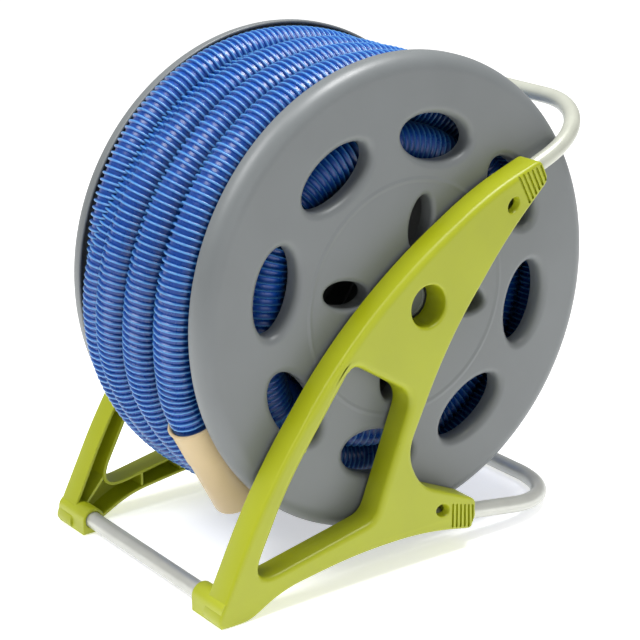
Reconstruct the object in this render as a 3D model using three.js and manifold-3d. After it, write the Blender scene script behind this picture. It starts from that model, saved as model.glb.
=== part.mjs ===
// A hand-wound reel for a corrugated pool vacuum hose, on a stand of two moulded side panels
// and three bent tubes. Millimetres, +Z up. The reel turns about an axle along X.
// The shapes are drawn about the axle's centre, and one group lifts them onto the floor.
import * as THREE from 'three';
import { mergeVertices } from 'three/addons/utils/BufferGeometryUtils.js';
import Module from 'manifold-3d';

const wasm = await Module();
wasm.setup();

// ---- Driving dimensions ----------------------------------------------------------------------

const AXLE_HEIGHT = 250;
const AXLE_Y = -5;
const GAP = 0.3;

// Side panels
const PANEL_OUTER_X = 143.5;
const PANEL_INNER_X = 116.5;
const PANEL_PLATE = 2.5;
const PANEL_WALL = 3;
const PANEL_EDGE = 2.5;
const RIB = 2.4;
const CURVE_STEPS = 3;
const PANEL_REACH = 400;
const HUB_BORE_R = 19.5;
const HUB_BOSS_R = 25;
const HUB_BOSS_INNER_X = 98;

// Tubes
const TUBE_R = 8;
const TUBE_BORE_R = 6.5;
const SOCKET_R = TUBE_R + GAP;
const SOCKET_WALL_R = 12;
const LEG_X = 127;
const LEG_IN_PANEL = 46;
const SOCKET_DEPTH = LEG_IN_PANEL + 1;
const HANDLE = { y: 122.7, z: 99.5, slope: 22.2, straight: 26.4, bend: 89.4 };
const REAR = { y: 65.5, z: -221, slope: -8.7, straight: 58, bend: 80 };
const FRONT_TUBE = { y: -214, z: -236 };
const FRONT_TUBE_END_X = 130;
const FRONT_BOSS_R = 11.4;
const FRONT_BOSS_INNER_X = 94.5;
const FRONT_BORE_END_X = FRONT_TUBE_END_X + GAP;
const PAST_PANEL = 10;

// Screws through the inner side of each tube end
const SCREW_R = 2;
const SCREW_HOLE_R = 2.4;
const SCREW_HEAD_R = 4;
const SCREW_HEAD = 2.6;
const SCREW_TIP_X = 131;

// Flanges
const FLANGE_R = 221;
const FLANGE_FACE_X = 112.5;
const FLANGE_SKIRT_X = 91.5;
const FLANGE_WALL = 3;
const RIM_R = 16;
const JOURNAL_R = 17.2;
const JOURNAL_BORE_R = 13.5;
const JOURNAL_END_X = 114;
const WELL_R = 27;
const WELL_FLOOR_X = 94.5;
const SPIGOT_INNER_R = 102.5;
const SPIGOT_X = 84;
const COLLAR_X = 94.5;
const HAND_HOLE = { count: 8, first: 32.5, ring: 146, along: 40, across: 21.5, fillet: 7.5, turned: 90 };
const SLOT = { count: 4, first: 77.5, ring: 69.5, along: 25, across: 12.5, fillet: 5, turned: 0 };

// Drum and tie rod
const DRUM_INNER_R = 106;
const DRUM_R = 109;
const DRUM_END_X = FLANGE_SKIRT_X - GAP;
const ROD_R = 4;
const ROD_END_X = 106;
const WASHER_R = 10;
const WASHER = 1.6;
const NUT_R = 7.5;
const NUT_BORE_R = 5;
const NUT = 6.5;

// Hub bushes and axle caps
const BUSH_R = 19.2;
const BUSH_BORE_R = 17.5;
const BUSH_END_X = 116;
const BUSH_COLLAR_R = 24;
const BUSH_COLLAR = 1.8;
const CAP_R = 17;
const CAP = 2;
const CAP_SPIGOT_R = 13.2;
const CAP_SPIGOT_BORE_R = 11;
const CAP_SPIGOT_X = 107;

// Hose
const HOSE_R = 22.5;
const WINDING_HALF_WIDTH = 89.5;
const WINDING_INNER_R = DRUM_R + GAP;
const WINDING_R = 226.5;
const WINDING_SHIFT = 6.5;
const WINDING_SHIFT_ANGLE = 235;
const CUFF_ANGLE = 205.5;
const CUFF_TILT = 4;
const CUFF_LANE_X = 50;
const CUFF_LANE_R = 210;
const CUFF_LENGTH = 95;
const CUFF_R = 25.5;
const CUFF_RIM_R = 26.5;
const CUFF_RIM = 2.5;
const CUFF_SOCKET_R = HOSE_R + 0.4;
const CUFF_SOCKET = 30;
const CUFF_BORE_R = 19.25;
const HOSE_IN_CUFF = 20;
const HOSE_BEFORE_CUFF = 12;
const HOSE_WALL = 3;
const NOTCH = { side: CUFF_RIM_R + 1, inward: CUFF_RIM_R + 5, outward: 90, length: 170 };

// ---- Solids ----------------------------------------------------------------------------------

function signedVolume(position, index) {
  const a = new THREE.Vector3();
  const b = new THREE.Vector3();
  const c = new THREE.Vector3();
  let volume = 0;
  for (let i = 0; i < index.count; i += 3) {
    a.fromBufferAttribute(position, index.getX(i));
    b.fromBufferAttribute(position, index.getX(i + 1));
    c.fromBufferAttribute(position, index.getX(i + 2));
    volume += a.dot(b.cross(c)) / 6;
  }
  return volume;
}

function flipFaces(index) {
  for (let i = 0; i < index.count; i += 3) {
    const second = index.getX(i + 1);
    index.setX(i + 1, index.getX(i + 2));
    index.setX(i + 2, second);
  }
}

// A closed mesh with shared vertices and its faces pointing out.
function closed(geometry) {
  const bare = geometry.clone();
  bare.deleteAttribute('normal');
  bare.deleteAttribute('uv');
  const merged = mergeVertices(bare, 1e-3);
  if (signedVolume(merged.attributes.position, merged.index) < 0) {
    flipFaces(merged.index);
  }
  return merged;
}

function solid(geometry) {
  const mesh = closed(geometry);
  return new wasm.Manifold(new wasm.Mesh({
    numProp: 3,
    vertProperties: Float32Array.from(mesh.attributes.position.array),
    triVerts: Uint32Array.from(mesh.index.array),
  }));
}

function geometryOf(manifold) {
  const mesh = manifold.getMesh();
  const geometry = new THREE.BufferGeometry();
  geometry.setAttribute('position', new THREE.BufferAttribute(mesh.vertProperties, 3));
  geometry.setIndex(new THREE.BufferAttribute(mesh.triVerts, 1));
  return geometry;
}

// The same shape on the other side of the object's middle plane.
function mirrored(geometry) {
  const copy = geometry.clone();
  copy.scale(-1, 1, 1);
  flipFaces(copy.index);
  return copy;
}

// Stands a shape drawn in (y, z) and extruded along the third axis in the row frame's axes.
function standAlongX(geometry, x) {
  const turn = new THREE.Matrix4().makeBasis(
    new THREE.Vector3(0, 1, 0),
    new THREE.Vector3(0, 0, 1),
    new THREE.Vector3(1, 0, 0),
  );
  return geometry.applyMatrix4(turn).translate(x, 0, 0);
}

// A solid of revolution about the axle, from points of radius and x.
function turned(profile, sides) {
  const points = profile.map(([radius, x]) => new THREE.Vector2(radius, x));
  points.push(points[0].clone());
  return new THREE.LatheGeometry(points, sides).rotateZ(-Math.PI / 2);
}

// A round bar between two points.
function bar(from, to, radius, sides) {
  const start = new THREE.Vector3(...from);
  const along = new THREE.Vector3(...to).sub(start);
  const geometry = new THREE.CylinderGeometry(radius, radius, along.length(), sides);
  geometry.translate(0, along.length() / 2, 0);
  const turn = new THREE.Quaternion();
  turn.setFromUnitVectors(new THREE.Vector3(0, 1, 0), along.clone().normalize());
  return geometry.applyQuaternion(turn).translate(...from);
}

function radians(degrees) {
  return THREE.MathUtils.degToRad(degrees);
}

function box(low, high) {
  const size = high.map((value, i) => value - low[i]);
  const middle = high.map((value, i) => (value + low[i]) / 2);
  return new THREE.BoxGeometry(...size).translate(...middle);
}

// ---- Side panels -----------------------------------------------------------------------------

// Corners of the outline as y, z and how far from the corner its rounding starts.
const PANEL_OUTLINE = [
  [-232, -250, 14], [-196, -250, 9], [-160, -231, 20], [-80, -219.5, 36], [0, -219, 36],
  [58.5, -231, 7], [62, -202, 7], [-6, -172, 18], [-21, -136, 18], [22, -43, 48], [88, 44.5, 34],
  [139, 94.5, 7], [129, 115, 7], [68, 92, 33], [-22, 37, 50], [-97, -29, 49], [-175, -131, 60],
];
const WINDOW_OUTLINE = [
  [-197, -220, 36], [-150, -129, 30], [-83, -37, 12], [-15, -80, 17], [-57.5, -192, 11],
];
// Oblong recesses that show the tube ends: centre, half length, half width and turn.
const RECESSES = [
  { y: 98, z: 77, halfLength: 7, halfWidth: 4, turn: 50 },
  { y: 21, z: -203, halfLength: 8, halfWidth: 5, turn: -20 },
];

function roundedPath(path, corners) {
  const points = corners.map(([y, z]) => new THREE.Vector2(y, z));
  corners.forEach(([, , cut], i) => {
    const corner = points[i];
    const before = points[(i + points.length - 1) % points.length];
    const after = points[(i + 1) % points.length];
    const start = corner.clone().add(before.clone().sub(corner).setLength(cut));
    const end = corner.clone().add(after.clone().sub(corner).setLength(cut));
    if (i === 0) {
      path.moveTo(start.x, start.y);
    } else {
      path.lineTo(start.x, start.y);
    }
    path.quadraticCurveTo(corner.x, corner.y, end.x, end.y);
  });
  path.closePath();
  return path;
}

function oblong(path, { y, z, halfLength, halfWidth, turn }) {
  const angle = radians(turn);
  path.absellipse(y, z, halfLength, halfWidth, 0, 2 * Math.PI, false, angle);
  return path;
}

function panelShape() {
  const shape = roundedPath(new THREE.Shape(), PANEL_OUTLINE);
  shape.holes.push(roundedPath(new THREE.Path(), WINDOW_OUTLINE));
  return shape;
}

// The points moved to the left of their path by a distance, with mitred corners.
function movedLeft(points, distance) {
  return points.map((point, i) => {
    const before = points[(i + points.length - 1) % points.length];
    const after = points[(i + 1) % points.length];
    const into = point.clone().sub(before).normalize();
    const out = after.clone().sub(point).normalize();
    const mitre = new THREE.Vector2(-into.y - out.y, into.x + out.x);
    return point.clone().addScaledVector(mitre, distance / (1 + into.dot(out)));
  });
}

// The panel's outline with every edge moved into the material.
function shrunkPanelShape(shape, distance) {
  const { shape: outline, holes } = shape.extractPoints(CURVE_STEPS);
  const open = [outline, ...holes].map((points) => points.slice(0, -1));
  const [moved, ...movedHoles] = open.map((points) => movedLeft(points, distance));
  const shrunk = new THREE.Shape(moved);
  shrunk.holes.push(...movedHoles.map((points) => new THREE.Path(points)));
  return shrunk;
}

function panelSlab(shape, fromX, toX) {
  const geometry = new THREE.ExtrudeGeometry(shape, {
    depth: toX - fromX,
    curveSegments: CURVE_STEPS,
    bevelEnabled: false,
  });
  return standAlongX(geometry, fromX);
}

// The outer skin, with its face edges rounded.
function panelBlock(shape) {
  const geometry = new THREE.ExtrudeGeometry(shape, {
    depth: PANEL_OUTER_X - PANEL_INNER_X,
    curveSegments: CURVE_STEPS,
    bevelEnabled: true,
    bevelThickness: PANEL_EDGE,
    bevelSize: PANEL_EDGE,
    bevelOffset: -PANEL_EDGE,
    bevelSegments: 1,
  });
  const rounded = solid(standAlongX(geometry, PANEL_INNER_X - PANEL_EDGE));
  const behind = box([0, -PANEL_REACH, -PANEL_REACH], [PANEL_INNER_X, PANEL_REACH, PANEL_REACH]);
  return rounded.subtract(solid(behind));
}

function ribBetween([y0, z0], [y1, z1]) {
  const length = Math.hypot(y1 - y0, z1 - z0);
  const rib = new THREE.BoxGeometry(PANEL_OUTER_X - PANEL_INNER_X - 2, length, RIB);
  rib.rotateX(Math.atan2(z1 - z0, y1 - y0));
  return rib.translate((PANEL_OUTER_X + PANEL_INNER_X) / 2, (y0 + y1) / 2, (z0 + z1) / 2);
}

// Transverse ribs of the two arms and the diagonal rib of the foot.
const PANEL_RIBS = [
  [[-145, -232], [-145, -204]],
  [[-100, -225], [-100, -196]],
  [[-214, -236], [-176, -192]],
  [[-152, -95], [-132, -108]],
  [[-100, -30], [-82, -48]],
  [[-36, -125], [-8, -136]],
  [[-60, -195], [-20, -220]],
];

// A point on a tube's leg, at a distance from where the leg's own dimensions are given.
function legPoint(tube, distance) {
  const slope = radians(tube.slope);
  return [LEG_X, tube.y + distance * Math.cos(slope), tube.z + distance * Math.sin(slope)];
}

function legBar(tube, from, to, radius, sides) {
  return bar(legPoint(tube, from), legPoint(tube, to), radius, sides);
}

function sidePanel() {
  const shape = panelShape();
  const full = panelSlab(shape, PANEL_INNER_X + 0.5, PANEL_OUTER_X - 1);
  const shrunk = shrunkPanelShape(shape, PANEL_WALL);
  const hollow = panelSlab(shrunk, PANEL_INNER_X - 1, PANEL_OUTER_X - PANEL_PLATE);
  const legSockets = [HANDLE, REAR].map((tube) => (
    solid(legBar(tube, -SOCKET_DEPTH, 3 * PAST_PANEL, SOCKET_WALL_R, 12))
  ));
  const ribs = PANEL_RIBS.map(([from, to]) => solid(ribBetween(from, to)));
  const inside = [...legSockets, ...ribs].reduce((joined, piece) => joined.add(piece));
  const inPlate = PANEL_OUTER_X - 1;
  const hubBoss = bar([HUB_BOSS_INNER_X, 0, 0], [inPlate, 0, 0], HUB_BOSS_R, 24);
  const hubFrom = HUB_BOSS_INNER_X - PAST_PANEL;
  const hubBore = bar([hubFrom, 0, 0], [PANEL_OUTER_X + PAST_PANEL, 0, 0], HUB_BORE_R, 24);
  const { y, z } = FRONT_TUBE;
  const footBoss = bar([FRONT_BOSS_INNER_X, y, z], [inPlate, y, z], FRONT_BOSS_R, 16);
  const footFrom = FRONT_BOSS_INNER_X - PAST_PANEL;
  const footBore = bar([footFrom, y, z], [FRONT_BORE_END_X, y, z], SOCKET_R, 16);
  let panel = panelBlock(shape).subtract(solid(hollow));
  panel = panel.add(inside.intersect(solid(full)));
  panel = panel.add(solid(hubBoss)).add(solid(footBoss));
  panel = panel.subtract(solid(hubBore)).subtract(solid(footBore));
  for (const tube of [HANDLE, REAR]) {
    const legBore = legBar(tube, -SOCKET_DEPTH + GAP, 4 * PAST_PANEL, SOCKET_R, 12);
    panel = panel.subtract(solid(legBore));
    panel = panel.subtract(solid(screwHole(tube)));
  }
  for (const recess of RECESSES) {
    const hole = new THREE.ExtrudeGeometry(oblong(new THREE.Shape(), recess), {
      depth: PANEL_PLATE + 2,
      curveSegments: 5,
      bevelEnabled: false,
    });
    panel = panel.subtract(solid(standAlongX(hole, PANEL_OUTER_X - PANEL_PLATE - 1)));
  }
  return geometryOf(panel);
}

// ---- Tubes and their screws ------------------------------------------------------------------

// A hairpin: a leg out of one panel, a bend, a cross bar, a bend and a leg into the other panel.
class Hairpin extends THREE.Curve {
  constructor(tube) {
    super();
    this.tube = tube;
    this.leg = LEG_IN_PANEL + tube.straight;
    this.arc = tube.bend * Math.PI / 2;
    this.cross = 2 * (LEG_X - tube.bend);
    this.total = 2 * this.leg + 2 * this.arc + this.cross;
  }

  getPoint(t, target = new THREE.Vector3()) {
    const { bend, straight } = this.tube;
    const half = Math.abs(t - 0.5) * this.total;
    const side = t < 0.5 ? 1 : -1;
    const barHalf = this.cross / 2;
    let x = half;
    let out = straight + bend;
    if (half > barHalf + this.arc) {
      x = LEG_X;
      out = straight - (half - barHalf - this.arc);
    } else if (half > barHalf) {
      const angle = (half - barHalf) / bend;
      x = barHalf + bend * Math.sin(angle);
      out = straight + bend * Math.cos(angle);
    }
    const [, y, z] = legPoint(this.tube, out);
    return target.set(side * x, y, z);
  }
}

function ringShape(outer, inner, outerSides, innerSides) {
  const corner = (radius, sides) => (_, i) => {
    const angle = 2 * Math.PI * i / sides;
    return new THREE.Vector2(radius * Math.cos(angle), radius * Math.sin(angle));
  };
  const shape = new THREE.Shape(Array.from({ length: outerSides }, corner(outer, outerSides)));
  shape.holes.push(new THREE.Path(Array.from({ length: innerSides }, corner(inner, innerSides))));
  return shape;
}

function screwHole(tube) {
  const [, y, z] = legPoint(tube, -LEG_IN_PANEL / 2);
  return bar([PANEL_INNER_X - 4, y, z], [SCREW_TIP_X, y, z], SCREW_HOLE_R, 10);
}

function hairpinTube(tube, steps) {
  const geometry = new THREE.ExtrudeGeometry(ringShape(TUBE_R, TUBE_BORE_R, 12, 8), {
    steps,
    curveSegments: 1,
    bevelEnabled: false,
    extrudePath: new Hairpin(tube),
  });
  const hole = closed(screwHole(tube));
  return geometryOf(solid(geometry).subtract(solid(hole)).subtract(solid(mirrored(hole))));
}

function frontTube() {
  const geometry = new THREE.ExtrudeGeometry(ringShape(TUBE_R, TUBE_BORE_R, 16, 12), {
    depth: 2 * FRONT_TUBE_END_X,
    curveSegments: 1,
    bevelEnabled: false,
  });
  return standAlongX(geometry, -FRONT_TUBE_END_X).translate(0, FRONT_TUBE.y, FRONT_TUBE.z);
}

function screw(tube) {
  const [, y, z] = legPoint(tube, -LEG_IN_PANEL / 2);
  const headX = PANEL_INNER_X - 0.6;
  const shank = solid(bar([headX - 0.5, y, z], [SCREW_TIP_X - 1, y, z], SCREW_R, 10));
  const head = solid(bar([headX - SCREW_HEAD, y, z], [headX, y, z], SCREW_HEAD_R, 14));
  return geometryOf(shank.add(head));
}

// ---- Flanges ---------------------------------------------------------------------------------

function flangeProfile() {
  const corner = FLANGE_R - RIM_R;
  const inner = RIM_R - FLANGE_WALL;
  const steps = 2;
  const arc = (radius, angle) => [
    corner + radius * Math.sin(angle),
    FLANGE_FACE_X - RIM_R + radius * Math.cos(angle),
  ];
  const angles = Array.from({ length: steps + 1 }, (_, i) => i * Math.PI / 2 / steps);
  const back = FLANGE_FACE_X - FLANGE_WALL;
  const wellWall = WELL_R + FLANGE_WALL;
  const seat = DRUM_INNER_R - 0.5;
  return [
    [ROD_R + 0.5, FLANGE_SKIRT_X], [ROD_R + 0.5, WELL_FLOOR_X],
    [JOURNAL_BORE_R, WELL_FLOOR_X], [JOURNAL_BORE_R, JOURNAL_END_X],
    [JOURNAL_R, JOURNAL_END_X], [JOURNAL_R, WELL_FLOOR_X],
    [WELL_R, WELL_FLOOR_X], [WELL_R, FLANGE_FACE_X],
    ...angles.map((angle) => arc(RIM_R, angle)),
    [FLANGE_R, FLANGE_SKIRT_X], [FLANGE_R - FLANGE_WALL, FLANGE_SKIRT_X],
    ...angles.reverse().map((angle) => arc(inner, angle)),
    [DRUM_R + 2, back], [DRUM_R + 2, FLANGE_SKIRT_X], [seat, FLANGE_SKIRT_X],
    [seat, SPIGOT_X], [SPIGOT_INNER_R, SPIGOT_X], [SPIGOT_INNER_R, back],
    [wellWall, back], [wellWall, FLANGE_SKIRT_X],
  ];
}

// An oval solid whose outline keeps its distance to the middle oval as its profile widens.
function ovalLathe(profile, stretch, sides) {
  const points = profile.map(([radius, x]) => new THREE.Vector2(radius, x));
  const geometry = new THREE.LatheGeometry(points, sides);
  const position = geometry.attributes.position;
  for (let i = 0; i < position.count; i += 1) {
    const radius = Math.hypot(position.getX(i), position.getZ(i));
    if (radius > 1e-6) {
      position.setZ(i, position.getZ(i) * (1 + stretch / radius));
    }
  }
  return geometry.rotateZ(-Math.PI / 2);
}

function placeHole(geometry, hole, i) {
  const angle = hole.first + 360 / hole.count * i;
  geometry.rotateX(radians(90 + hole.turned));
  geometry.translate(0, hole.ring, 0);
  return geometry.rotateX(radians(angle));
}

function holeCollar(hole, sides) {
  const radius = hole.across + FLANGE_WALL;
  const profile = [
    [0, COLLAR_X], [radius, COLLAR_X], [radius, FLANGE_FACE_X - hole.fillet - 1],
    [radius + hole.fillet, FLANGE_FACE_X - 1], [0, FLANGE_FACE_X - 1],
  ];
  return ovalLathe(profile, hole.along - hole.across, sides);
}

function holeCutter(hole, sides) {
  const { across, fillet } = hole;
  const angles = [0, Math.PI / 2];
  const mouth = angles.map((angle) => [
    across + fillet * (1 - Math.cos(angle)),
    FLANGE_FACE_X - fillet * (1 - Math.sin(angle)),
  ]);
  const profile = [
    [0, SPIGOT_X], [across, SPIGOT_X], ...mouth,
    [across + fillet, FLANGE_FACE_X + 1], [0, FLANGE_FACE_X + 1],
  ];
  return ovalLathe(profile, hole.along - across, sides);
}

function flange() {
  let dish = solid(turned(flangeProfile(), 40));
  for (const [hole, sides] of [[HAND_HOLE, 16], [SLOT, 10]]) {
    for (let i = 0; i < hole.count; i += 1) {
      dish = dish.add(solid(placeHole(holeCollar(hole, sides), hole, i)));
    }
    for (let i = 0; i < hole.count; i += 1) {
      dish = dish.subtract(solid(placeHole(holeCutter(hole, sides), hole, i)));
    }
  }
  return geometryOf(dish);
}

// ---- Drum, tie rod, bushes and caps ----------------------------------------------------------

function tube(inner, outer, fromX, toX, sides) {
  return turned([[inner, fromX], [inner, toX], [outer, toX], [outer, fromX]], sides);
}

function hubBush() {
  const collarX = WELL_FLOOR_X + 0.7;
  return turned([
    [BUSH_BORE_R, collarX], [BUSH_BORE_R, BUSH_END_X], [BUSH_R, BUSH_END_X],
    [BUSH_R, collarX + BUSH_COLLAR], [BUSH_COLLAR_R, collarX + BUSH_COLLAR], [BUSH_COLLAR_R, collarX],
  ], 20);
}

function axleCap() {
  const seat = JOURNAL_END_X + GAP;
  const profile = [
    [0, seat], [CAP_SPIGOT_BORE_R, seat], [CAP_SPIGOT_BORE_R, CAP_SPIGOT_X],
    [CAP_SPIGOT_R, CAP_SPIGOT_X], [CAP_SPIGOT_R, seat], [CAP_R, seat], [CAP_R, seat + CAP],
    [0, seat + CAP],
  ];
  const points = profile.map(([radius, x]) => new THREE.Vector2(radius, x));
  return new THREE.LatheGeometry(points, 20).rotateZ(-Math.PI / 2);
}

function tieWasher() {
  const seat = WELL_FLOOR_X + GAP;
  return tube(ROD_R + 0.4, WASHER_R, seat, seat + WASHER, 16);
}

function tieNut() {
  const seat = WELL_FLOOR_X + WASHER + 2 * GAP;
  return tube(NUT_BORE_R, NUT_R, seat, seat + NUT, 6);
}

// ---- Hose ------------------------------------------------------------------------------------

// A frame at the cuff: its third axis runs along the cuff, its first away from the axle.
function cuffFrame() {
  const angle = radians(CUFF_ANGLE);
  const tilt = radians(CUFF_TILT);
  const outward = new THREE.Vector3(0, Math.cos(angle + tilt), Math.sin(angle + tilt));
  const along = new THREE.Vector3(0, -Math.sin(angle + tilt), Math.cos(angle + tilt));
  const side = new THREE.Vector3().crossVectors(along, outward);
  const frame = new THREE.Matrix4().makeBasis(outward, side, along);
  return frame.setPosition(
    CUFF_LANE_X,
    CUFF_LANE_R * Math.cos(angle),
    CUFF_LANE_R * Math.sin(angle),
  );
}

// A solid of revolution about the cuff's axis, from points of radius and distance along it.
function onCuff(profile, sides) {
  const points = profile.map(([radius, along]) => new THREE.Vector2(radius, along));
  points.push(points[0].clone());
  return new THREE.LatheGeometry(points, sides).rotateX(Math.PI / 2).applyMatrix4(cuffFrame());
}

function hoseCuff() {
  return onCuff([
    [CUFF_SOCKET_R, 0], [CUFF_RIM_R, 0], [CUFF_RIM_R, CUFF_RIM], [CUFF_R, CUFF_RIM],
    [CUFF_R, CUFF_LENGTH], [CUFF_BORE_R, CUFF_LENGTH], [CUFF_BORE_R, CUFF_SOCKET],
    [CUFF_SOCKET_R, CUFF_SOCKET],
  ], 20);
}

function hoseEnd() {
  const section = ringShape(HOSE_R, HOSE_R - HOSE_WALL, 12, 8);
  const geometry = new THREE.ExtrudeGeometry(section, {
    depth: HOSE_IN_CUFF + HOSE_BEFORE_CUFF - GAP,
    curveSegments: 1,
    bevelEnabled: false,
  });
  return geometry.translate(0, 0, GAP - HOSE_BEFORE_CUFF).applyMatrix4(cuffFrame());
}

// The outer shape of the winding. It hangs looser at the bottom, so it is off the axle's centre.
function windingBody() {
  const corner = WINDING_R - HOSE_R;
  const shoulder = [0, 1, 2, 3].map((i) => {
    const angle = i * Math.PI / 6;
    const across = WINDING_HALF_WIDTH - HOSE_R * (1 - Math.cos(angle));
    return [corner + HOSE_R * Math.sin(angle), across];
  });
  const far = shoulder.map(([radius, across]) => [radius, -across]).reverse();
  const profile = [[0, WINDING_HALF_WIDTH], ...shoulder, ...far, [0, -WINDING_HALF_WIDTH]];
  const points = profile.map(([radius, across]) => new THREE.Vector2(radius, across));
  const body = new THREE.LatheGeometry(points, 60).rotateZ(-Math.PI / 2);
  const towards = radians(WINDING_SHIFT_ANGLE);
  return body.translate(0, WINDING_SHIFT * Math.cos(towards), WINDING_SHIFT * Math.sin(towards));
}

// The whole winding as one ring, with a notch that the cuff lies in.
function hoseWinding() {
  const end = WINDING_HALF_WIDTH + GAP;
  const bore = bar([-end, 0, 0], [end, 0, 0], WINDING_INNER_R, 40);
  const { side, inward, outward, length } = NOTCH;
  const notch = box([-inward, -side, -HOSE_BEFORE_CUFF], [outward, side, length]);
  const winding = solid(windingBody()).subtract(solid(bore));
  return geometryOf(winding.subtract(solid(notch.applyMatrix4(cuffFrame()))));
}

// ---- Assembly --------------------------------------------------------------------------------

function finish(color, roughness, metalness = 0) {
  return { color, roughness, metalness };
}

const LIME = finish('#b9c13f', 0.45);
const GREY = finish('#7e8283', 0.4);
const ALUMINIUM = finish('#afb0a9', 0.35, 0.8);
const WHITE_METAL = finish('#eef0e1', 0.35, 0.3);
const STEEL = finish('#8f9294', 0.3, 1);
const BLACK = finish('#1a1c1e', 0.6);
const BLUE = finish('#1e50aa', 0.4);
const IVORY = finish('#d3bf96', 0.4);

const reel = new THREE.Group();
reel.position.set(0, AXLE_Y, AXLE_HEIGHT);

function addNode(name, geometry, look) {
  const mesh = new THREE.Mesh(closed(geometry), new THREE.MeshStandardMaterial(look));
  mesh.name = name;
  reel.add(mesh);
}

function addPair(name, geometry, look) {
  const right = closed(geometry);
  addNode(`${name}_right`, right, look);
  addNode(`${name}_left`, mirrored(right), look);
}

addPair('side_panel', sidePanel(), LIME);
addNode('front_tube', frontTube(), ALUMINIUM);
addNode('handle_tube', hairpinTube(HANDLE, 30), WHITE_METAL);
addNode('rear_tube', hairpinTube(REAR, 30), ALUMINIUM);
addPair('handle_screw', screw(HANDLE), STEEL);
addPair('rear_screw', screw(REAR), STEEL);
addPair('hub_bush', hubBush(), BLACK);
addPair('flange', flange(), GREY);
addNode('drum', tube(DRUM_INNER_R, DRUM_R, -DRUM_END_X, DRUM_END_X, 40), GREY);
addNode('tie_rod', bar([-ROD_END_X, 0, 0], [ROD_END_X, 0, 0], ROD_R, 12), STEEL);
addPair('tie_nut', tieNut(), STEEL);
addPair('tie_washer', tieWasher(), STEEL);
addPair('axle_cap', axleCap(), GREY);
addNode('hose_winding', hoseWinding(), BLUE);
addNode('hose_end', hoseEnd(), BLUE);
addNode('hose_cuff', hoseCuff(), IVORY);

export default reel;
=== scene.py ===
"""A hand-wound reel for a corrugated pool vacuum hose, modelled around its CAD frame.

Shapes are worked out in millimetres about the axle's centre, on the right half of the reel.
Shell.piece() scales them to metres, lifts them to the axle's height and mirrors the left ones.
"""

import bisect
import math

import bmesh
import bpy
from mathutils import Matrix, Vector
from mathutils.geometry import tessellate_polygon


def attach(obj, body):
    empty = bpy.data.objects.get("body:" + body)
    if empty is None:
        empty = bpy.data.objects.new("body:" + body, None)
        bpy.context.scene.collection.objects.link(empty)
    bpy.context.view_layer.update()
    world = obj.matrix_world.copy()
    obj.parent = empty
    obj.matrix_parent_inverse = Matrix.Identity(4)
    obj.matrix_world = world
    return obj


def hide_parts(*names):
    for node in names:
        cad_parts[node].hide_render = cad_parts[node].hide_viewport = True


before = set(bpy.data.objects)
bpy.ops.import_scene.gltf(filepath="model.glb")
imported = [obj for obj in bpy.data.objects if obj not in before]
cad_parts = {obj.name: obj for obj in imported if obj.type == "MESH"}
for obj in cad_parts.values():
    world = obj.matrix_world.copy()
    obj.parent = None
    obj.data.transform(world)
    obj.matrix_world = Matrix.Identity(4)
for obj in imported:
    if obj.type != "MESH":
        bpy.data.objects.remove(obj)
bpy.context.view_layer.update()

# ---- Dimensions, in millimetres about the axle's centre ---------------------------------------

MM = 0.001
AXLE = Vector((0, -0.005, 0.25))

PANEL_OUTER_X = 143.5
PANEL_INNER_X = 116.5
PANEL_PLATE = 2.5
PANEL_BACK_X = PANEL_OUTER_X - PANEL_PLATE
PANEL_WALL = 3
PANEL_EDGE = 0.6
ROOT_FILLET = 1.5
EMBEDDED = 1.5
RIB = 2.4
RIB_SET_BACK = 1.5
HUB_BORE_R = 19.5
HUB_BOSS_R = 25
HUB_BOSS_INNER_X = 98
HUB_MOUTH = 2.8

TUBE_R = 8
TUBE_BORE_R = 6.5
TUBE_EDGE = 0.4
SOCKET_R = 8.3
SOCKET_WALL_R = 12
SOCKET_START = -38
SOCKET_MOUTH = -1.5
SOCKET_GAP = 0.3
LEG_X = 127
LEG_IN_PANEL = 46
HANDLE = {"y": 122.7, "z": 99.5, "slope": 22.2, "straight": 26.4, "bend": 89.4}
REAR = {"y": 65.5, "z": -221, "slope": -8.7, "straight": 58, "bend": 80}
FRONT_TUBE_Y = -214
FRONT_TUBE_Z = -236
FRONT_TUBE_END_X = 130
FRONT_BOSS_R = 11.4
BOSS_DROP = 13.2
FRONT_BOSS_INNER_X = 94.5

FLANGE_R = 221
FLANGE_FACE_X = 112.5
FLANGE_SKIRT_X = 91.5
FLANGE_WALL = 3
FLANGE_BACK_X = FLANGE_FACE_X - FLANGE_WALL
FLANGE_EDGE = 1.2
RIM_R = 16
JOURNAL_R = 17.2
JOURNAL_BORE_R = 13.5
JOURNAL_END_X = 114
WELL_R = 27
WELL_FLOOR_X = 94.5
WELL_MOUTH = 2
SPIGOT_INNER_R = 102.5
SPIGOT_R = 105.5
SPIGOT_X = 84
SEAT_R = 111
COLLAR_X = 94.5
RIDGE_R = 109
RIDGE = 2.5
RIDGE_TOP = 0.6
RIDGE_HEIGHT = 0.6
HAND_HOLE = {"count": 8, "first": 32.5, "ring": 146, "along": 40, "across": 21.5, "fillet": 7.5}
SLOT = {"count": 4, "first": 77.5, "ring": 69.5, "along": 25, "across": 12.5, "fillet": 5}
ROD_HOLE_R = 4.5

DRUM_INNER_R = 106
DRUM_R = 109
DRUM_END_X = 91.2

CAP_R = 17
CAP_SEAT_X = 114.3
CAP = 2
CAP_PLUG_R = 13.2
CAP_PLUG_X = 107

SCREW_R = 2
SCREW_HEAD_R = 4
SCREW_HEAD = 2.2
SCREW_HEAD_EDGE = 0.4
SCREW_SEAT_GAP = 0.6
SCREW_SOCKET_FLOOR = 0.9
SCREW_END_X = 130
SCREW_SOCKET_R = 1.9

HOSE_R = 22.5
HOSE_PITCH = 5.9
GROOVE = 2.6
HOSE_SIDES = 24
HOSE_IN_CUFF = 20
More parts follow.
